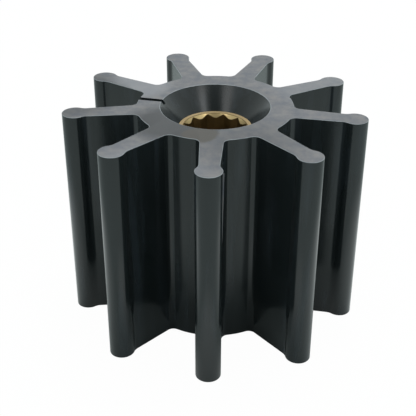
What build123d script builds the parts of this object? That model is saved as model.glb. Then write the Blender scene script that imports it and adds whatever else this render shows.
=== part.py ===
from build123d import *
import os
from math import cos, radians, tan

# Flexible impeller of a raw-water pump: a one-piece moulded rubber vane body, bonded to a
# splined brass insert that slides onto the pump's shaft.
# Millimetres. +Z runs along the shaft axis, the origin lies on that axis midway between the
# two end faces, and the first vane points along -Y.

# Vane body as a whole
tip_diameter = 120.0            # circle through the tips of the vanes
width = 90.0                    # from end face to end face
vane_count = 9
first_vane_angle = -90.0        # degrees from +X

# One vane, seen along the axis: a tapered web that ends in a round sealing bead
bead_diameter = 10.0
web_tip_thickness = 7.2         # at the centre of the bead
web_root_thickness = 9.0        # at the outside of the hub
neck_fillet = 4.5               # web to bead
root_fillet = 3.0               # web to hub

# Hub
hub_diameter = 62.2
recess_mouth_diameter = 43.7    # conical recess in each end face, down to the insert
recess_depth = 9.0

# Shallow slot across the upper end face of the hub, from the recess to one pocket
slot_pocket = 6                 # pockets passed, counter-clockwise from the first vane
slot_width = 2.2
slot_depth = 2.0

# Splined insert
insert_diameter = 29.4
tooth_count = 12
spline_major_diameter = 25.8    # across the bottoms of the grooves
spline_minor_diameter = 23.9    # across the tips of the teeth
groove_bottom_width = 0.5
tooth_tip_width = 1.2
tooth_clocking = 1.5            # degrees from the line of the first vane to a tooth
lead_in_diameter = 26.8         # mouth of the bevel at each end of the spline
lead_in_angle = 35.0            # slope of that bevel to the axis, degrees

# Grooves turned round the outside of the insert, which lock it into the rubber
lock_groove_count = 3
lock_groove_width = 6.0
lock_groove_depth = 0.6

# Sizes that follow from those above
end_level = width / 2
insert_level = end_level - recess_depth
insert_length = 2 * insert_level
insert_radius = insert_diameter / 2
vane_pitch = 360 / vane_count
hub_radius = hub_diameter / 2
bead_centre_radius = (tip_diameter - bead_diameter) / 2
web_taper = (web_tip_thickness - web_root_thickness) / (bead_centre_radius - hub_radius)
web_start_thickness = web_root_thickness + web_taper * (insert_radius - hub_radius)
slot_angle = first_vane_angle + vane_pitch * (slot_pocket + 0.5)
slot_length = hub_radius + slot_width - insert_radius
tooth_pitch = 360 / tooth_count
groove_angle = first_vane_angle + tooth_clocking + tooth_pitch / 2
groove_bottom_radius = spline_major_diameter / 2
groove_mouth_radius = spline_minor_diameter / 2 * cos(radians(tooth_pitch / 2))
groove_mouth_width = 2 * groove_mouth_radius * tan(radians(tooth_pitch / 2)) - tooth_tip_width
lead_in_radius = lead_in_diameter / 2
lead_in_height = lead_in_radius / tan(radians(lead_in_angle))


def inside_corners(section):
    """The corners of a section, from the nearest to the axis to the farthest."""
    return section.vertices().sort_by_distance((0, 0, 0))


# Half section of the insert's outside. The insert is turned to it, and the rubber is moulded
# against it.
with BuildSketch(Plane.XZ) as insert_outside:
    Rectangle(insert_radius, insert_length, align=(Align.MIN, Align.CENTER))
    with Locations((insert_radius, 0)):
        with GridLocations(0, insert_length / lock_groove_count, 1, lock_groove_count):
            Rectangle(
                lock_groove_depth,
                lock_groove_width,
                align=(Align.MAX, Align.CENTER),
                mode=Mode.SUBTRACT,
            )


with BuildPart() as vane_body:
    # The section is the same all along: a round hub, webs and beads
    with BuildSketch() as vane_section:
        # The circle of the hub starts and ends inside the first web, so it leaves no corner
        with PolarLocations(0, 1, start_angle=first_vane_angle):
            Circle(hub_radius)
        with PolarLocations(0, vane_count, start_angle=first_vane_angle):
            Polygon(
                (insert_radius, -web_start_thickness / 2),
                (bead_centre_radius, -web_tip_thickness / 2),
                (bead_centre_radius, web_tip_thickness / 2),
                (insert_radius, web_start_thickness / 2),
                align=None,
            )
        with PolarLocations(bead_centre_radius, vane_count, start_angle=first_vane_angle):
            Circle(bead_diameter / 2)
        # The inside corners lie in two rings: web to hub, and web to bead
        fillet(inside_corners(vane_section)[: 2 * vane_count], radius=root_fillet)
        fillet(inside_corners(vane_section)[-2 * vane_count :], radius=neck_fillet)
    extrude(amount=end_level, both=True)

    # The conical recess in each end face
    with BuildSketch(Plane.XZ) as recess_section:
        for end in (-1, 1):
            with BuildLine():
                Polyline(
                    (0, end * end_level),
                    (0, end * insert_level),
                    (insert_radius, end * insert_level),
                    (recess_mouth_diameter / 2, end * end_level),
                    close=True,
                )
            make_face()
    revolve(axis=Axis.Z, mode=Mode.SUBTRACT)

    revolve(insert_outside.sketch, axis=Axis.Z, mode=Mode.SUBTRACT)

    # The slot across the hub
    with BuildSketch(Plane.XY.offset(end_level)):
        with PolarLocations(insert_radius, 1, start_angle=slot_angle):
            Rectangle(slot_length, slot_width, align=(Align.MIN, Align.CENTER))
    extrude(amount=-slot_depth, mode=Mode.SUBTRACT)


with BuildPart() as splined_insert:
    revolve(insert_outside.sketch, axis=Axis.Z)

    # The spline: a round bore with a V groove between each two teeth
    with BuildSketch() as spline_section:
        Circle(spline_minor_diameter / 2)
        with PolarLocations(0, tooth_count, start_angle=groove_angle):
            Polygon(
                (0, 0),
                (groove_mouth_radius, -groove_mouth_width / 2),
                (groove_bottom_radius, -groove_bottom_width / 2),
                (groove_bottom_radius, groove_bottom_width / 2),
                (groove_mouth_radius, groove_mouth_width / 2),
                align=None,
            )
    extrude(amount=insert_level, both=True, mode=Mode.SUBTRACT)

    # A bevel leads the shaft in at each end
    with BuildSketch(Plane.XZ) as lead_in_section:
        for end in (-1, 1):
            with BuildLine():
                Polyline(
                    (0, end * insert_level),
                    (lead_in_radius, end * insert_level),
                    (0, end * (insert_level - lead_in_height)),
                    close=True,
                )
            make_face()
    revolve(axis=Axis.Z, mode=Mode.SUBTRACT)


os.makedirs("parts", exist_ok=True)

vane_body.part.label = "vane_body"
export_step(vane_body.part, "parts/vane_body.step")

splined_insert.part.label = "splined_insert"
export_step(splined_insert.part, "parts/splined_insert.step")
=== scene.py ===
"""Flexible impeller of a raw-water pump: a moulded rubber vane body on a splined brass insert.

Metres. +Z runs along the shaft axis, the origin lies on it midway between the end faces, and
the first vane points along -Y.
"""
import math

import bmesh
import bpy
from bpy.props import FloatProperty, FloatVectorProperty, IntProperty, PointerProperty
from mathutils import Matrix, Vector


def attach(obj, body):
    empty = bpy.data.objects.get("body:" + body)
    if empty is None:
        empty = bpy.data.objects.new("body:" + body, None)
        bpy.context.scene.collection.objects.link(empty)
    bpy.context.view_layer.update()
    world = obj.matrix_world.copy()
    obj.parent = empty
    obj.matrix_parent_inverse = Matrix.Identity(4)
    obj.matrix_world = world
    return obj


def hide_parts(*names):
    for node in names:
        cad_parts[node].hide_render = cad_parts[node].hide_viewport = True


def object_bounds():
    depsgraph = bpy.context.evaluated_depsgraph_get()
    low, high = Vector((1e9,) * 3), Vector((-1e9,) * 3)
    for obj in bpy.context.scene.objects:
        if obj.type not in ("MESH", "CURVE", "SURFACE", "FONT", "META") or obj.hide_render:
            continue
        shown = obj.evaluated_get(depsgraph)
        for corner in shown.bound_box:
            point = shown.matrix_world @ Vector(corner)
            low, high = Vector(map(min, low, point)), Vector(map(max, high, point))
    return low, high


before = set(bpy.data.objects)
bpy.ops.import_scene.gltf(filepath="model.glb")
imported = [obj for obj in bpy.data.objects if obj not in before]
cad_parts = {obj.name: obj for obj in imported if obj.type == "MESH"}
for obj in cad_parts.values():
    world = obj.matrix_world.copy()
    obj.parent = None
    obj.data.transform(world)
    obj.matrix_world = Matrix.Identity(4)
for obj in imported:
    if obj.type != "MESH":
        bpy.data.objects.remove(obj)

bl_info = {
    "name": "Rubber Pump Impeller",
    "version": (1, 0, 0),
    "blender": (4, 5, 0),
    "location": "View3D > Sidebar > Impeller",
    "description": "Models a flexible rubber pump impeller with a splined brass insert",
    "category": "Add Mesh",
}

CAD_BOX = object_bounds()
MM = 0.001
TINY = 1e-6                     # merges and compares points that are meant to be the same
SEAT_SLACK = 0.02 * MM          # how far a point of a seat may lie off its circle
ROUND_POINTS = 144              # points of a full circle on the insert
ARC_STEP = math.radians(5)      # widest turn between two points of an arc in the section
# The slot's ends, as shares of its width and depth
SLOT_POCKET_WIDTH = 1.15
SLOT_RECESS_WIDTH = 0.85
SLOT_RECESS_DEPTH = 0.6
FLASH_FOOT = 0.96               # where the fin starts, as a share of the bead's radius
FLASH_DROP = 0.4 * MM           # from the end face down to the fin
FLASH_THICKNESS = 0.3 * MM
CUTTER_EXTRA = 1 * MM           # how far a cutter reaches past the face that it cuts
# Material slots of the vane body
SKIN, BLOOM, EDGE, RECESS = range(4)

# Sizes and finishes that a user may change


def length(name, description, millimetres):
    """A length setting, given in millimetres and kept in metres."""
    return FloatProperty(
        name=name,
        description=description,
        default=millimetres * MM,
        min=0.0,
        precision=5,
        unit="LENGTH",
        subtype="DISTANCE",
    )


def angle(name, description, degrees):
    """An angle setting, given in degrees and kept in radians."""
    return FloatProperty(
        name=name,
        description=description,
        default=math.radians(degrees),
        unit="ROTATION",
        subtype="ANGLE",
    )


def linear(hex_colour):
    """The linear colour of an sRGB hex value such as 8090A0."""
    parts = [int(hex_colour[i : i + 2], 16) / 255 for i in (0, 2, 4)]
    return [c / 12.92 if c <= 0.04045 else ((c + 0.055) / 1.055) ** 2.4 for c in parts]


def colour(name, description, hex_colour):
    """A colour setting, given as sRGB hex and kept linear."""
    return FloatVectorProperty(
        name=name,
        description=description,
        default=(*linear(hex_colour), 1.0),
        size=4,
        min=0.0,
        max=1.0,
        subtype="COLOR",
    )


class VaneBodySizes(bpy.types.PropertyGroup):
    tip_diameter: length(
        "Tip diameter", "Circle through the tips of the vanes", -2 * CAD_BOX[0].y / MM
    )
    width: length("Width", "From end face to end face", (CAD_BOX[1].z - CAD_BOX[0].z) / MM)
    vane_count: IntProperty(name="Vanes", description="Number of vanes", default=9, min=5, max=16)
    bead_diameter: length("Bead diameter", "Round sealing bead at the tip of each vane", 10.0)
    web_tip_thickness: length("Web thickness, tip", "Vane thickness at the centre of its bead", 7.2)
    web_root_thickness: length("Web thickness, root", "Vane thickness at the hub", 9.0)
    neck_fillet: length("Neck fillet", "Radius between web and bead", 4.5)
    root_fillet: length("Root fillet", "Radius between web and hub", 3.0)
    hub_diameter: length("Hub diameter", "Round hub, seen as the floor of each pocket", 62.2)
    recess_mouth_diameter: length("Recess mouth", "Conical recess at each end face", 43.7)
    recess_depth: length("Recess depth", "From each end face to the insert", 9.0)
    edge_round: length("Edge round", "Radius on the edges round both end faces", 0.15)
    slot_angle: angle("Slot angle", "Direction of the slot across the hub", 170.0)
    slot_width: length("Slot width", "Shallow slot across the upper end face of the hub", 2.2)
    slot_depth: length("Slot depth", "Depth of that slot", 2.0)
    flash_angle: angle("Flash angle", "Place of the moulding flash on the first bead", 80.0)
    flash_height: length("Flash height", "How far that flash stands out", 0.45)
    flash_length: length("Flash length", "How far that flash runs down from the end face", 40.0)


class InsertSizes(bpy.types.PropertyGroup):
    diameter: length("Diameter", "Outside of the insert", 29.4)
    tooth_count: IntProperty(
        name="Teeth", description="Number of spline teeth", default=12, min=6, max=36
    )
    major_diameter: length("Major diameter", "Across the bottoms of the grooves", 25.8)
    minor_diameter: length("Minor diameter", "Across the tips of the teeth", 23.9)
    groove_bottom_width: length("Groove bottom", "Width of the flat bottom of each groove", 0.5)
    tooth_tip_width: length("Tooth tip", "Width of the tip of each tooth", 1.2)
    clocking: angle("Clocking", "From the line of the first vane to a tooth", 1.5)
    lead_in_diameter: length("Lead-in mouth", "Mouth of the bevel at each end of the spline", 26.2)
    lead_in_angle: angle("Lead-in slope", "Slope of that bevel to the axis", 44.0)
    lead_in_step: length("Lead-in step", "Upright step between end face and bevel", 0.2)
    lock_groove_width: length("Lock groove width", "Grooves that lock insert and rubber", 6.0)
    lock_groove_depth: length("Lock groove depth", "Depth of those grooves", 0.6)
    lock_groove_count: IntProperty(
        name="Lock grooves", description="Number of lock grooves", default=3, min=0, max=5
    )
    edge_break: length("Edge break", "Radius on the edges of the spline and the ring", 0.08)


class Finishes(bpy.types.PropertyGroup):
    rubber: colour("Moulded rubber", "Vane flanks, beads, pocket floors and recesses", "1B2021")
    rubber_smudge: colour("Smudges", "Paler smears that a hand or a mould leaves", "292F33")
    end_face: colour("End face", "Matt grey bloom on the flat end faces", "5A5D65")
    end_face_cloud: colour("End face, clouds", "Paler and warmer clouds in the bloom", "727071")
    end_face_thick: colour("End face, thick bloom", "Where the bloom lies thickest", "85868B")
    end_face_bare: colour("End face, bare", "Where the bloom is rubbed off", "36373A")
    end_face_stain: colour("End face, stain", "Brownish stain on the hub", "433E38")
    # The pale edge colour is a painted highlight: it stands in for the glint of light on the
    # rounded edges round the end faces.
    edge: colour("Edge", "Edges round the end faces, rubbed pale", "8E9498")
    brass: colour("Brass", "Splined insert", "D8BD8A")
    brass_dark: colour("Brass, dull", "Brown oxide on the insert", "AD9468")
    brass_tarnish: colour("Brass, tarnished", "Dark tarnish in the spline", "6E6045")
    floor: colour("Floor", "Pale floor and surroundings", "EEF8F7")


class StageSettings(bpy.types.PropertyGroup):
    camera_azimuth: angle("Camera azimuth", "Direction from the aim, from +X", -87.3226)
    camera_elevation: angle("Camera elevation", "Height of the camera above its aim", 30.33)
    camera_roll: angle("Camera roll", "Turn of the camera about its own line of sight", 0.1486)
    camera_distance: length("Camera distance", "From the camera to its aim", 378.49)
    lens: FloatProperty(name="Lens", description="Focal length, mm", default=77.885, unit="CAMERA")


# Keeps the floor just clear of the lower end face, which would flicker through it from below
FLOOR_GAP = 0.05 * MM
CAMERA_AIM = Vector((-2.772, -0.130, -1.794)) * MM
# Where the bloom on the end faces differs: finish, centre x and y, radius, softness of the
# outline (mm), strength
RUBBED_PLACES = (
    ("end_face_thick", -33, 19, 13, 6, 0.7),
    ("end_face_thick", 42, 24, 20, 8, 0.4),
    ("end_face_thick", -24, -60, 21, 12, 0.5),
    ("end_face_bare", -61, 10, 23, 8, 0.6),
    ("end_face_bare", 12, -32, 18, 18, 0.5),
    ("end_face_bare", -17, -17, 15, 9, 0.95),
    ("end_face_bare", -7.5, -23.5, 9.6, 1.5, 0.9),
    ("end_face_stain", -4.5, -26.5, 6.5, 1.5, 0.85),
)

# Directions in which the room is lightest and darkest
BACK_OF_ROOM = (0.10, 0.90, 0.42)
FRONT_GAP = (0.03, -0.573, 0.819)
# Where the floor is brighter in a reflection: |x| and |y| (mm), radius (mm), strength
FLOOR_SPOTS = ((120, 20, 95, 1.7), (0, 85, 45, 1.0))
# Name, azimuth and elevation (degrees), distance, width and height (m), power (W)
LAMPS = (
    ("back_key", 75, 62, 1.2, 0.8, 0.6, 6.0),
    ("left_softbox", -129, 46, 0.75, 0.20, 0.6, 0.58),
    ("right_softbox", -45, 43, 0.75, 0.14, 0.6, 0.6),
)

# Modelling helpers


def start_mesh(name, location, rotation=(0, 0, 0), scale=(1, 1, 1), primitive="plane", **shape):
    """Adds a primitive with its place in its mesh and opens it in edit mode, all selected."""
    bpy.ops.object.select_all(action="DESELECT")
    add = getattr(bpy.ops.mesh, f"primitive_{primitive}_add")
    add(location=location, rotation=rotation, scale=scale, **shape)
    piece = bpy.context.object
    piece.name = piece.data.name = name
    bpy.ops.object.transform_apply(location=True, rotation=True, scale=True)
    bpy.ops.object.mode_set(mode="EDIT")
    bpy.ops.mesh.select_mode(type="VERT")
    bpy.ops.mesh.select_all(action="SELECT")
    return piece


def pick(kind, test):
    """Selects the vertices, edges or faces that pass a test, and nothing else."""
    bpy.ops.mesh.select_mode(type=kind)
    bpy.ops.mesh.select_all(action="DESELECT")
    data = bpy.context.edit_object.data
    mesh = bmesh.from_edit_mesh(data)
    chosen = {"VERT": mesh.verts, "EDGE": mesh.edges, "FACE": mesh.faces}[kind]
    for item in chosen:
        item.select_set(test(item))
    mesh.select_flush_mode()
    bmesh.update_edit_mesh(data)
    if not any(item.select for item in chosen):
        raise RuntimeError(f"nothing to select on {bpy.context.edit_object.name}")


def draw_to(point):
    """Draws a straight edge from the selected point to another."""
    mesh = bmesh.from_edit_mesh(bpy.context.edit_object.data)
    pen = next(v.co.copy() for v in mesh.verts if v.select)
    bpy.ops.mesh.extrude_vertices_move(TRANSFORM_OT_translate={"value": point - pen})


def turn_about(centre, turn):
    """Draws an arc from the selected point, anticlockwise where the turn is positive."""
    steps = max(1, math.ceil(abs(turn) / ARC_STEP - TINY))
    bpy.ops.mesh.spin(steps=steps, angle=-turn, center=centre, axis=(0, 0, 1))


def start_point(name, point):
    """Starts a piece as a single selected point."""
    piece = start_mesh(name, point, size=MM)
    bpy.ops.mesh.merge(type="CENTER")
    return piece


def copies_round_axis(count):
    """Copies all of the mesh round the axis, count in all, and welds them."""
    bpy.ops.mesh.select_all(action="SELECT")
    turn = 2 * math.pi * (count - 1) / count
    bpy.ops.mesh.spin(steps=count - 1, angle=turn, center=(0, 0, 0), axis=(0, 0, 1), dupli=True)
    weld()


def weld():
    """Merges points that lie on each other."""
    bpy.ops.mesh.select_all(action="SELECT")
    bpy.ops.mesh.remove_doubles(threshold=10 * TINY)


def face_outwards():
    """Points every face outwards."""
    bpy.ops.mesh.select_all(action="SELECT")
    bpy.ops.mesh.normals_make_consistent(inside=False)


def cut_level(level, test):
    """Cuts a level line round the faces that pass a test."""
    pick("FACE", test)
    bpy.ops.mesh.bisect(plane_co=(0, 0, level), plane_no=(0, 0, 1))


def scale_round_axis(factor):
    """Scales what is selected towards or away from the axis."""
    bpy.ops.transform.resize(value=(factor, factor, 1), center_override=(0, 0, 0))


def select_only(piece):
    """Makes a piece the active one and the only one selected."""
    bpy.ops.object.select_all(action="DESELECT")
    bpy.context.view_layer.objects.active = piece
    piece.select_set(True)


def combine(piece, other, operation):
    """Joins another closed piece to this one, or cuts it out, and deletes the other."""
    modifier = piece.modifiers.new("Combine", "BOOLEAN")
    modifier.operation = operation
    modifier.solver = "EXACT"
    modifier.object = other
    select_only(piece)
    bpy.ops.object.modifier_apply(modifier=modifier.name)
    bpy.data.objects.remove(other)


def radius_of(vertex):
    """How far a point lies from the axis."""
    return vertex.co.xy.length


def is_level(face):
    """Whether a face lies flat, across the axis."""
    return abs(face.normal.z) > 0.99


def is_upright(face):
    """Whether a face stands upright, along the axis."""
    return abs(face.normal.z) < 0.01


def finish_piece(piece, replaced, smooth_angle):
    """Shades a piece and seats it in the frame."""
    select_only(piece)
    bpy.ops.object.shade_smooth_by_angle(angle=smooth_angle)
    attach(piece, "root")
    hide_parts(replaced)


# Material helpers


def add_node(tree, kind, inputs=None, **options):
    """Adds a node, sets its options, and fills its inputs with values or links."""
    made = tree.nodes.new(kind)
    for option, value in options.items():
        setattr(made, option, value)
    for name, value in (inputs or {}).items():
        if isinstance(value, bpy.types.NodeSocket):
            tree.links.new(value, made.inputs[name])
        else:
            made.inputs[name].default_value = value
    return made


def new_material(name):
    """An empty material with its node tree, object coordinates and output."""
    material = bpy.data.materials.new(name)
    material.use_nodes = True
    tree = material.node_tree
    tree.nodes.clear()
    coords = add_node(tree, "ShaderNodeTexCoord").outputs["Object"]
    output = add_node(tree, "ShaderNodeOutputMaterial")
    return material, tree, coords, output


def moulded_rubber(name, base, second, base_roughness, grain_height):
    """Black nitrile rubber from a polished mould: satin, nearly black, with soft smears."""
    material, tree, coords, output = new_material(name)
    # Smears run along the vanes, about 6 mm apart and 60 mm long
    along = add_node(tree, "ShaderNodeMapping", {"Vector": coords, "Scale": (1, 1, 0.1)})
    smears = add_node(
        tree, "ShaderNodeTexNoise",
        {
            "Vector": along.outputs["Vector"],
            "Scale": 1 / (6 * MM), "Detail": 3.0, "Roughness": 0.55,
        },
    )
    smear_mask = add_node(
        tree, "ShaderNodeMapRange",
        {"Value": smears.outputs["Fac"], "From Min": 0.5, "From Max": 0.72},
    )
    tint = add_node(
        tree, "ShaderNodeMix",
        {"Factor": smear_mask.outputs["Result"], "A": base, "B": second},
        data_type="RGBA",
    )
    roughness = add_node(
        tree, "ShaderNodeMapRange",
        {
            "Value": smears.outputs["Fac"],
            "To Min": base_roughness - 0.03, "To Max": base_roughness + 0.03,
        },
    )
    # Mould grain, drawn at 0.5 mm so that it shows; the real grain is about 0.05 mm
    grain = add_node(
        tree, "ShaderNodeTexNoise", {"Vector": coords, "Scale": 1 / (0.5 * MM), "Detail": 2.0}
    )
    bump = add_node(
        tree, "ShaderNodeBump",
        {"Height": grain.outputs["Fac"], "Strength": 0.6, "Distance": grain_height},
    )
    shader = add_node(
        tree, "ShaderNodeBsdfPrincipled",
        {
            "Base Color": tint.outputs["Result"],
            "Roughness": roughness.outputs["Result"],
            "IOR": 1.52,
            "Normal": bump.outputs["Normal"],
        },
    )
    tree.links.new(shader.outputs["BSDF"], output.inputs["Surface"])
    return material


def trimmed_end_face(name, finishes):
    """Trimmed end face of the rubber: a matt grey bloom, rubbed bare where it has been handled."""
    material, tree, coords, output = new_material(name)
    # Soft clouds in the bloom, about 5 mm across
    clouds = add_node(
        tree, "ShaderNodeTexNoise",
        {"Vector": coords, "Scale": 1 / (5 * MM), "Detail": 6.0, "Roughness": 0.65},
    )
    cloud_mask = add_node(
        tree, "ShaderNodeMapRange",
        {"Value": clouds.outputs["Fac"], "From Min": 0.38, "From Max": 0.62},
    )
    tint = add_node(
        tree, "ShaderNodeMix",
        {
            "Factor": cloud_mask.outputs["Result"],
            "A": finishes.end_face,
            "B": finishes.end_face_cloud,
        },
        data_type="RGBA",
    )
    # The outlines of the rubbed places waver by about 2 mm
    ragged = add_node(
        tree, "ShaderNodeTexNoise", {"Vector": coords, "Scale": 1 / (4 * MM), "Detail": 3.0}
    )
    for key, x, y, radius, softness, strength in RUBBED_PLACES:
        from_centre = add_node(
            tree, "ShaderNodeVectorMath",
            {0: coords, 1: (x * MM, y * MM, CAD_BOX[1].z)},
            operation="DISTANCE",
        )
        to_outline = add_node(
            tree, "ShaderNodeMath",
            {0: ragged.outputs["Fac"], 1: 4 * MM, 2: from_centre.outputs["Value"]},
            operation="MULTIPLY_ADD",
        )
        inside = add_node(
            tree, "ShaderNodeMapRange",
            {
                "Value": to_outline.outputs["Value"],
                "From Min": (radius + 2 - softness / 2) * MM,
                "From Max": (radius + 2 + softness / 2) * MM,
                "To Min": strength,
                "To Max": 0.0,
            },
        )
        tint = add_node(
            tree, "ShaderNodeMix",
            {
                "Factor": inside.outputs["Result"],
                "A": tint.outputs["Result"],
                "B": getattr(finishes, key),
            },
            data_type="RGBA",
        )
    # Grain of the trimming cut, drawn at 0.5 mm so that it shows; the real grain is about 0.1 mm
    grain = add_node(
        tree, "ShaderNodeTexNoise", {"Vector": coords, "Scale": 1 / (0.5 * MM), "Detail": 2.0}
    )
    bump = add_node(
        tree, "ShaderNodeBump",
        {"Height": grain.outputs["Fac"], "Strength": 0.6, "Distance": 0.02 * MM},
    )
    shader = add_node(
        tree, "ShaderNodeBsdfPrincipled",
        {
            "Base Color": tint.outputs["Result"],
            "Roughness": 0.6,
            "IOR": 1.52,
            "Normal": bump.outputs["Normal"],
        },
    )
    tree.links.new(shader.outputs["BSDF"], output.inputs["Surface"])
    return material


def cut_brass(name, base, second, share, metallic, roughness):
    """Broached or turned brass: pale gold on the cut faces, brown where it has dulled."""
    material, tree, coords, output = new_material(name)
    cloud = add_node(
        tree, "ShaderNodeTexNoise", {"Vector": coords, "Scale": 1 / (4 * MM), "Detail": 4.0}
    )
    dulled = add_node(
        tree, "ShaderNodeMath", {0: cloud.outputs["Fac"], 1: share}, operation="MULTIPLY"
    )
    tint = add_node(
        tree, "ShaderNodeMix",
        {"Factor": dulled.outputs["Value"], "A": base, "B": second},
        data_type="RGBA",
    )
    shader = add_node(
        tree, "ShaderNodeBsdfPrincipled",
        {"Base Color": tint.outputs["Result"], "Metallic": metallic, "Roughness": roughness},
    )
    tree.links.new(shader.outputs["BSDF"], output.inputs["Surface"])
    return material


# Operators


class IMPELLER_OT_add_vane_body(bpy.types.Operator):
    """Model the rubber body: hub, webs and beads, with a conical recess in each end"""

    bl_idname = "impeller.add_vane_body"
    bl_label = "Add Vane Body"
    bl_options = {"REGISTER", "UNDO"}

    def execute(self, context):
        sizes = context.scene.impeller_body
        insert = context.scene.impeller_insert
        end = sizes.width / 2
        insert_end = end - sizes.recess_depth
        mouth = sizes.recess_mouth_diameter / 2
        seat = insert.diameter / 2

        piece = self.draw_half_vane(sizes, end, mouth)
        bpy.ops.mesh.duplicate_move()
        bpy.ops.transform.resize(value=(-1, 1, 1), center_override=(0, 0, end))
        copies_round_axis(sizes.vane_count)
        face_outwards()
        bpy.ops.mesh.extrude_region_move(TRANSFORM_OT_translate={"value": (0, 0, -sizes.width)})
        weld()
        face_outwards()

        def on_bore(face):
            return is_upright(face) and all(radius_of(v) < mouth + TINY for v in face.verts)

        # Each recess narrows from its mouth to the insert's seat
        for level in (-insert_end, insert_end):
            cut_level(level, on_bore)
        pick("VERT", lambda v: abs(abs(v.co.z) - insert_end) < TINY)
        scale_round_axis(seat / mouth)
        add_rings(insert, insert_end, seat)

        def round_end_face(edge):
            levels = {abs(abs(v.co.z) - end) < TINY for v in edge.verts}
            return levels == {True} and sum(is_level(f) for f in edge.link_faces) == 1

        pick("EDGE", round_end_face)
        bpy.ops.mesh.bevel(
            offset=sizes.edge_round, offset_type="OFFSET", segments=3, affect="EDGES"
        )
        bpy.ops.object.mode_set(mode="OBJECT")
        combine(piece, self.slot_cutter(sizes, end, seat), "DIFFERENCE")
        combine(piece, self.flash(sizes, end), "UNION")
        self.dress(context, piece, end)
        return {"FINISHED"}

    def draw_half_vane(self, sizes, end, mouth):
        """Half of one vane and its share of the hub, as a flat face at the upper end."""
        bead = sizes.bead_diameter / 2
        hub = sizes.hub_diameter / 2
        half_pitch = math.pi / sizes.vane_count
        # Across the vane is +X and out along it is -Y
        outward = Vector((0, -1, 0))
        axis_point = Vector((0, 0, end))
        bead_centre = axis_point + outward * (sizes.tip_diameter / 2 - bead)
        root = axis_point + Vector((sizes.web_root_thickness / 2, -hub, 0))
        tip = bead_centre + Vector((sizes.web_tip_thickness / 2, 0, 0))
        flank = (tip - root).normalized()
        off_flank = Vector((-flank.y, flank.x, 0))
        mid_pocket = Vector((math.sin(half_pitch), -math.cos(half_pitch), 0))

        neck_centre = fillet_centre(bead_centre, bead, root, -flank, off_flank, sizes.neck_fillet)
        to_neck = (neck_centre - bead_centre).normalized()
        root_centre = fillet_centre(axis_point, hub, root, flank, off_flank, sizes.root_fillet)
        to_root = (root_centre - axis_point).normalized()

        piece = start_point("rubber_vane_body", bead_centre + outward * bead)
        turn_about(bead_centre, signed_turn(outward, to_neck))
        turn_about(neck_centre, signed_turn(-to_neck, -off_flank))
        draw_to(root_centre - off_flank * sizes.root_fillet)
        turn_about(root_centre, signed_turn(-off_flank, -to_root))
        turn_about(axis_point, signed_turn(to_root, mid_pocket))
        draw_to(axis_point + mid_pocket * mouth)
        turn_about(axis_point, -half_pitch)
        bpy.ops.mesh.select_all(action="SELECT")
        bpy.ops.mesh.edge_face_add()
        return piece

    def slot_cutter(self, sizes, end, seat):
        """What is cut away for the slot: a bar that widens and deepens towards the pocket."""
        inner, outer = seat, sizes.hub_diameter / 2 + sizes.slot_width
        middle = Vector(((inner + outer) / 2, 0, end))
        cutter = start_mesh(
            "slot_cutter",
            middle,
            scale=(outer - inner, sizes.slot_width, 2 * sizes.slot_depth),
            primitive="cube",
            size=1,
        )
        pick("VERT", lambda v: v.co.x > middle.x)
        bpy.ops.transform.resize(value=(1, SLOT_POCKET_WIDTH, 1), center_override=middle)
        pick("VERT", lambda v: v.co.x < middle.x)
        bpy.ops.transform.resize(
            value=(1, SLOT_RECESS_WIDTH, SLOT_RECESS_DEPTH), center_override=middle
        )
        bpy.ops.object.mode_set(mode="OBJECT")
        cutter.rotation_euler.z = sizes.slot_angle
        bpy.ops.object.transform_apply(rotation=True)
        return cutter

    def flash(self, sizes, end):
        """A thin fin of moulding flash left along the upper part of the first vane's bead."""
        bead = sizes.bead_diameter / 2
        foot, tip = FLASH_FOOT * bead, bead + sizes.flash_height
        fin = start_mesh(
            "flash",
            ((foot + tip) / 2, 0, end - FLASH_DROP - sizes.flash_length / 2),
            scale=(tip - foot, FLASH_THICKNESS, sizes.flash_length),
            primitive="cube",
            size=1,
        )
        # It runs out to nothing at its lower end
        pick("VERT", lambda v: v.co.x > bead and v.co.z < end - sizes.flash_length / 2)
        bpy.ops.transform.translate(value=(foot - tip, 0, 0))
        bpy.ops.object.mode_set(mode="OBJECT")
        fin.rotation_euler.z = sizes.flash_angle - math.pi / 2
        fin.location.y = bead - sizes.tip_diameter / 2
        bpy.ops.object.transform_apply(location=True, rotation=True)
        return fin

    def dress(self, context, piece, end):
        """Gives each face its finish: moulded, trimmed, a pale edge that is a painted highlight, or
        recess.
        """
        finishes = context.scene.impeller_finishes
        made = {
            SKIN: moulded_rubber(
                "moulded_nitrile_rubber", finishes.rubber, finishes.rubber_smudge,
                base_roughness=0.17, grain_height=0.004 * MM,
            ),
            BLOOM: trimmed_end_face("bloomed_rubber_end_face", finishes),
            RECESS: moulded_rubber(
                "moulded_recess_rubber", finishes.rubber, finishes.rubber_smudge,
                base_roughness=0.22, grain_height=0.004 * MM,
            ),
            # Pale edge finish: a painted highlight for the glint on the rounded edges
            EDGE: moulded_rubber(
                "painted_glint_rubber_edge", finishes.edge, finishes.end_face,
                base_roughness=0.45, grain_height=0.01 * MM,
            ),
        }
        for slot in (SKIN, BLOOM, EDGE, RECESS):
            piece.data.materials.append(made[slot])
        sizes = context.scene.impeller_body
        mouth, bead = sizes.recess_mouth_diameter / 2, sizes.bead_diameter / 2
        first_bead = Vector((0, bead - sizes.tip_diameter / 2))
        for face in piece.data.polygons:
            height = abs(face.center.z)
            if face.center.xy.length < mouth:
                face.material_index = RECESS
            if height > end - TINY:
                face.material_index = BLOOM
            # The rounded edges take the pale finish, a painted highlight
            elif height > end - sizes.edge_round and abs(face.normal.z) > 0.1:
                face.material_index = EDGE
            elif (
                face.center.y < first_bead.y
                and (face.center.xy - first_bead).length > bead + TINY
            ):
                # The fin of flash, which stands out of the bead
                face.material_index = BLOOM
        finish_piece(piece, "vane_body", math.radians(25))


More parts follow.
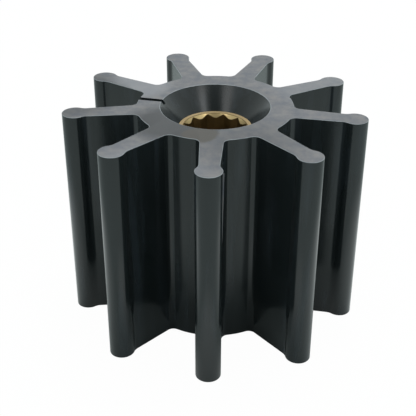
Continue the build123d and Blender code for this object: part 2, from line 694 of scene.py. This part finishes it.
def fillet_centre(centre, radius, point, along, off, fillet):
    """The centre of a fillet between a circle and a line, on the line's off side."""
    away = point + off * fillet - centre
    forward = away.dot(along)
    reach = math.sqrt((radius + fillet) ** 2 - away.length_squared + forward**2)
    return centre + away + along * (reach - forward)


def signed_turn(start, finish):
    """The turn about +Z from one direction to another, the short way round."""
    return math.atan2(start.cross(finish).z, start.dot(finish))


def add_rings(insert, insert_end, seat):
    """Steps the wall between rubber and brass in at each lock groove of the insert."""
    count = insert.lock_groove_count
    pitch = 2 * insert_end / max(count, 1)
    for i in range(count):
        centre = (i - (count - 1) / 2) * pitch
        low, high = centre - insert.lock_groove_width / 2, centre + insert.lock_groove_width / 2

        def on_seat(face):
            return is_upright(face) and all(
                abs(radius_of(v) - seat) < SEAT_SLACK for v in face.verts
            )

        def in_groove(face):
            return on_seat(face) and low < face.calc_center_median().z < high

        for level in (low, high):
            cut_level(level, on_seat)
        pick("FACE", in_groove)
        bpy.ops.mesh.extrude_region_move()
        scale_round_axis(1 - insert.lock_groove_depth / seat)


class IMPELLER_OT_add_splined_insert(bpy.types.Operator):
    """Model the brass insert: a bush with an internal spline and a bevel at each end"""

    bl_idname = "impeller.add_splined_insert"
    bl_label = "Add Splined Insert"
    bl_options = {"REGISTER", "UNDO"}

    def execute(self, context):
        sizes = context.scene.impeller_insert
        body = context.scene.impeller_body
        end = body.width / 2 - body.recess_depth
        outside = sizes.diameter / 2

        piece = self.draw_spline(sizes, end)
        bpy.ops.object.mode_set(mode="OBJECT")
        start_mesh("ring", (0, 0, end), primitive="circle", vertices=ROUND_POINTS, radius=outside)
        bpy.ops.object.mode_set(mode="OBJECT")
        piece.select_set(True)
        bpy.context.view_layer.objects.active = piece
        bpy.ops.object.join()
        bpy.ops.object.mode_set(mode="EDIT")
        bpy.ops.mesh.select_all(action="SELECT")
        bpy.ops.mesh.fill()
        bpy.ops.mesh.extrude_region_move(TRANSFORM_OT_translate={"value": (0, 0, -2 * end)})
        face_outwards()
        add_rings(sizes, end, outside)
        bpy.ops.object.mode_set(mode="OBJECT")
        mouth = sizes.lead_in_diameter / 2
        depth = mouth / math.tan(sizes.lead_in_angle)
        for side in (1, -1):
            cutter = start_mesh(
                "lead_in_cutter",
                (0, 0, side * (end - sizes.lead_in_step - depth / 2)),
                rotation=(0 if side < 0 else math.pi, 0, 0),
                primitive="cone",
                vertices=ROUND_POINTS,
                radius1=mouth,
                radius2=0,
                depth=depth,
            )
            # The cone's wide end is drawn on past the end face, which makes the step
            pick("FACE", is_level)
            past = Vector((0, 0, side * (sizes.lead_in_step + CUTTER_EXTRA)))
            bpy.ops.mesh.extrude_region_move(TRANSFORM_OT_translate={"value": past})
            face_outwards()
            bpy.ops.object.mode_set(mode="OBJECT")
            combine(piece, cutter, "DIFFERENCE")
        bevel = piece.modifiers.new("Edge break", "BEVEL")
        bevel.width = sizes.edge_break
        bevel.segments = 2
        bevel.limit_method = "ANGLE"
        bevel.angle_limit = math.radians(25)
        bevel.use_clamp_overlap = True
        bpy.ops.object.modifier_apply(modifier=bevel.name)
        finishes = context.scene.impeller_finishes
        # The bore is tarnished, and the end faces are dull with oxide and scatter light as well
        for name, base, second, share, metallic, roughness in (
            ("broached_brass", finishes.brass_dark, finishes.brass_tarnish, 1.0, 1.0, 0.4),
            ("lead_in_brass", finishes.brass, finishes.brass_dark, 0.2, 1.0, 0.3),
            ("turned_brass", finishes.brass_dark, finishes.brass_tarnish, 0.4, 0.4, 0.5),
        ):
            piece.data.materials.append(cut_brass(name, base, second, share, metallic, roughness))
        for face in piece.data.polygons:
            face.material_index = sum(abs(face.normal.z) > limit for limit in (0.3, 0.9))
        finish_piece(piece, "splined_insert", math.radians(20))
        return {"FINISHED"}

    def draw_spline(self, sizes, end):
        """The outline of the spline, a flat-bottomed groove between each two teeth."""
        pitch = 2 * math.pi / sizes.tooth_count
        mouth = sizes.minor_diameter / 2 * math.cos(pitch / 2)
        half_mouth = mouth * math.tan(pitch / 2) - sizes.tooth_tip_width / 2
        bottom, half_bottom = sizes.major_diameter / 2, sizes.groove_bottom_width / 2
        first = Matrix.Rotation(sizes.clocking + pitch / 2 - math.pi / 2, 4, "Z")
        following = Matrix.Rotation(pitch, 4, "Z") @ first
        piece = start_point("brass_splined_insert", first @ Vector((mouth, -half_mouth, end)))
        draw_to(first @ Vector((bottom, -half_bottom, end)))
        draw_to(first @ Vector((bottom, half_bottom, end)))
        draw_to(first @ Vector((mouth, half_mouth, end)))
        draw_to(following @ Vector((mouth, -half_mouth, end)))
        copies_round_axis(sizes.tooth_count)
        return piece


class IMPELLER_OT_add_stage(bpy.types.Operator):
    """Add the pale floor, the surroundings, the lamps and the camera"""

    bl_idname = "impeller.add_stage"
    bl_label = "Add Stage"
    bl_options = {"REGISTER", "UNDO"}

    def execute(self, context):
        settings = context.scene.impeller_stage
        floor_colour = context.scene.impeller_finishes.floor
        self.add_floor(floor_colour)
        self.add_world(context, floor_colour)
        self.add_lamps()
        self.add_camera(context, settings)
        context.scene.view_settings.view_transform = "Standard"
        return {"FINISHED"}

    def add_floor(self, floor_colour):
        """A floor that is white to the camera and keeps the object's shadow."""
        floor = start_mesh("floor", (0, 0, CAD_BOX[0].z - FLOOR_GAP), size=8)
        bpy.ops.object.mode_set(mode="OBJECT")
        material, tree, coords, output = new_material("white_studio_floor")
        # Seen straight on the floor is white with a faint shadow. Mirrored it is a little dimmer
        # than lit, but for brighter spots to its left and right and close in front.
        path = add_node(tree, "ShaderNodeLightPath")
        paper = add_node(tree, "ShaderNodeBsdfDiffuse", {"Color": floor_colour})
        aside = add_node(tree, "ShaderNodeVectorMath", {0: coords}, operation="ABSOLUTE")
        levels = []
        for x, y, radius, strength in FLOOR_SPOTS:
            from_spot = add_node(
                tree, "ShaderNodeVectorMath",
                {0: aside.outputs["Vector"], 1: (x * MM, y * MM, -CAD_BOX[0].z)},
                operation="DISTANCE",
            )
            spot = add_node(
                tree, "ShaderNodeMapRange",
                {
                    "Value": from_spot.outputs["Value"],
                    "From Min": 15 * MM, "From Max": radius * MM,
                    "To Min": strength, "To Max": 0.0,
                },
            )
            levels.append(spot.outputs["Result"])
        mirrored_level = add_node(
            tree, "ShaderNodeMath", {0: levels[0], 1: levels[1]}, operation="MAXIMUM"
        )
        level = add_node(
            tree, "ShaderNodeMapRange",
            {"Value": path.outputs["Is Camera Ray"], "To Min": mirrored_level.outputs["Value"]},
        )
        white = add_node(tree, "ShaderNodeEmission", {"Strength": level.outputs["Result"]})
        mirrored = add_node(
            tree, "ShaderNodeMath", {0: path.outputs["Is Glossy Ray"], 1: 0.3}, operation="MULTIPLY"
        )
        lift = add_node(
            tree, "ShaderNodeMath",
            {0: path.outputs["Is Camera Ray"], 1: 0.98, 2: mirrored.outputs[0]},
            operation="MULTIPLY_ADD",
        )
        mix = add_node(
            tree, "ShaderNodeMixShader",
            {0: lift.outputs[0], 1: paper.outputs["BSDF"], 2: white.outputs["Emission"]},
        )
        tree.links.new(mix.outputs["Shader"], output.inputs["Surface"])
        floor.data.materials.append(material)

    def add_world(self, context, floor_colour):
        """A pale room, white where the camera sees it."""
        world = bpy.data.worlds.new("studio")
        world.use_nodes = True
        tree = world.node_tree
        tree.nodes.clear()
        # The room is lightest behind the object
        direction = add_node(tree, "ShaderNodeTexCoord").outputs["Generated"]
        towards_back = add_node(
            tree, "ShaderNodeVectorMath",
            {0: direction, 1: BACK_OF_ROOM},
            operation="DOT_PRODUCT",
        )
        back_glow = add_node(
            tree, "ShaderNodeMapRange",
            {
                "Value": towards_back.outputs["Value"],
                "From Min": -0.2, "From Max": 0.9, "To Min": 0.5, "To Max": 1.0,
            },
        )
        # and darkest high up in front of it, between the two softboxes
        towards_front = add_node(
            tree, "ShaderNodeVectorMath",
            {0: direction, 1: FRONT_GAP},
            operation="DOT_PRODUCT",
        )
        front_gap = add_node(
            tree, "ShaderNodeMapRange",
            {
                "Value": towards_front.outputs["Value"],
                "From Min": 0.955, "From Max": 0.985, "To Min": 0.0, "To Max": 0.4,
            },
        )
        brightness = add_node(
            tree, "ShaderNodeMath",
            {0: back_glow.outputs["Result"], 1: front_gap.outputs["Result"]},
            operation="SUBTRACT",
        )
        path = add_node(tree, "ShaderNodeLightPath")
        room = add_node(
            tree, "ShaderNodeBackground",
            {"Color": floor_colour, "Strength": brightness.outputs["Value"]},
        )
        white = add_node(tree, "ShaderNodeBackground", {"Color": (1, 1, 1, 1), "Strength": 1.0})
        mix = add_node(
            tree, "ShaderNodeMixShader",
            {0: path.outputs["Is Camera Ray"], 1: room.outputs[0], 2: white.outputs[0]},
        )
        add_node(tree, "ShaderNodeOutputWorld", {"Surface": mix.outputs["Shader"]})
        context.scene.world = world

    def add_lamps(self):
        """A key lamp behind the object and a softbox on each side, all aimed at it."""
        for name, azimuth, elevation, distance, width, height, power in LAMPS:
            level = distance * math.cos(math.radians(elevation))
            height_above = distance * math.sin(math.radians(elevation))
            place = Vector((level, 0, height_above))
            place.rotate(Matrix.Rotation(math.radians(azimuth), 3, "Z"))
            bpy.ops.object.light_add(type="AREA", location=place)
            lamp = bpy.context.object
            lamp.name = lamp.data.name = name
            lamp.data.shape = "RECTANGLE"
            lamp.data.size = width
            lamp.data.size_y = height
            lamp.data.energy = power
            lamp.rotation_euler = (-place).to_track_quat("-Z", "Y").to_euler()

    def add_camera(self, context, settings):
        """The camera, placed round its aim by azimuth, elevation and distance."""
        level = math.cos(settings.camera_elevation)
        back = Vector((
            level * math.cos(settings.camera_azimuth),
            level * math.sin(settings.camera_azimuth),
            math.sin(settings.camera_elevation),
        ))
        bpy.ops.object.camera_add(location=CAMERA_AIM + back * settings.camera_distance)
        camera = bpy.context.object
        camera.name = camera.data.name = "camera"
        roll = Matrix.Rotation(settings.camera_roll, 3, "Z")
        turn = (-back).to_track_quat("-Z", "Y").to_matrix() @ roll
        camera.rotation_euler = turn.to_euler()
        camera.data.lens = settings.lens
        camera.data.sensor_width = 36
        camera.data.clip_start = 10 * MM
        context.scene.camera = camera


class IMPELLER_PT_sidebar(bpy.types.Panel):
    """Lists the operators and settings of the impeller"""

    bl_idname = "IMPELLER_PT_sidebar"
    bl_label = "Rubber Pump Impeller"
    bl_space_type = "VIEW_3D"
    bl_region_type = "UI"
    bl_category = "Impeller"

    def draw(self, context):
        for operator, settings in PIECES:
            box = self.layout.box()
            box.operator(operator.bl_idname)
            group = getattr(context.scene, settings)
            for key in group.bl_rna.properties.keys():
                if key not in ("rna_type", "name"):
                    box.prop(group, key)


SETTINGS = {
    "impeller_body": VaneBodySizes,
    "impeller_insert": InsertSizes,
    "impeller_finishes": Finishes,
    "impeller_stage": StageSettings,
}
PIECES = (
    (IMPELLER_OT_add_vane_body, "impeller_body"),
    (IMPELLER_OT_add_splined_insert, "impeller_insert"),
    (IMPELLER_OT_add_stage, "impeller_stage"),
)
CLASSES = (*SETTINGS.values(), *(operator for operator, _ in PIECES), IMPELLER_PT_sidebar)


def register():
    for cls in CLASSES:
        bpy.utils.register_class(cls)
    for name, group in SETTINGS.items():
        setattr(bpy.types.Scene, name, PointerProperty(type=group))


def unregister():
    for name in SETTINGS:
        delattr(bpy.types.Scene, name)
    for cls in reversed(CLASSES):
        bpy.utils.unregister_class(cls)


def main():
    register()
    bpy.ops.impeller.add_vane_body()
    bpy.ops.impeller.add_splined_insert()
    bpy.ops.impeller.add_stage()


if __name__ == "__main__":
    main()
